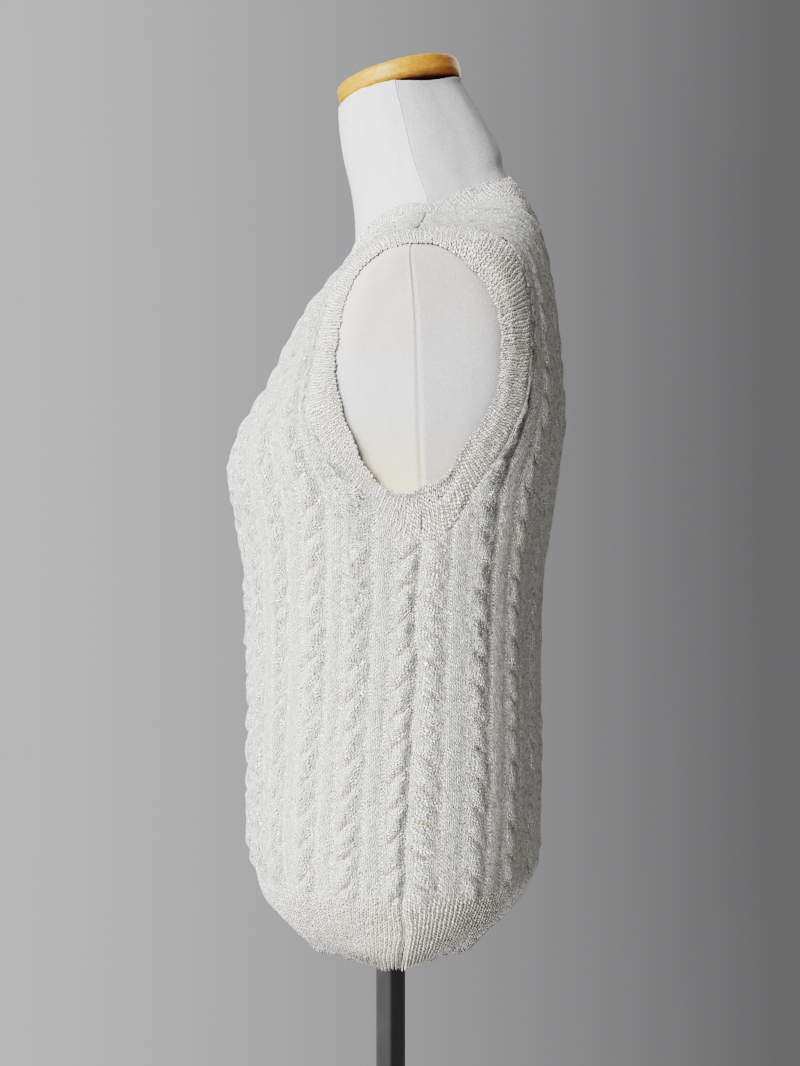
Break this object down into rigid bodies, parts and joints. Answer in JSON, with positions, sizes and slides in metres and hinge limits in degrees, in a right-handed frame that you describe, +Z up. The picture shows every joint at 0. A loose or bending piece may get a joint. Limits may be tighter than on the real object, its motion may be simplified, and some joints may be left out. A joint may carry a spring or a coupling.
{
  "type": "knitted sweater vest on a dress form",
  "caption": "Sleeveless cable-knit vest with a V neck and ribbed bands, worn by a limbless jersey-covered dress form with a wooden neck cap, on a metal pole and a round base.",
  "frame": {"origin": "on the floor under the middle of the round base and the pole", "axes": "+Z up, -Y towards the wearer's front, +X towards the wearer's left"},
  "size_m": [0.3326, 0.29, 1.2787],
  "materials": {
    "yarn": "matt, slubby cotton-blend knit",
    "jersey": "matt, fine knit cover",
    "wood": "satin lacquer on laminated light wood",
    "steel": "polished, dark reflections"
  },
  "bodies": {
    "root": {"front_panel": "yarn", "back_panel": "yarn", "neckband": "yarn", "armband_left": "yarn", "armband_right": "yarn", "dress_form": "jersey", "neck_cap": "wood", "base_plate": "steel", "pole_ferrule": "steel", "pole_socket": "steel", "pole": "steel"}
  },
  "joints": []
}
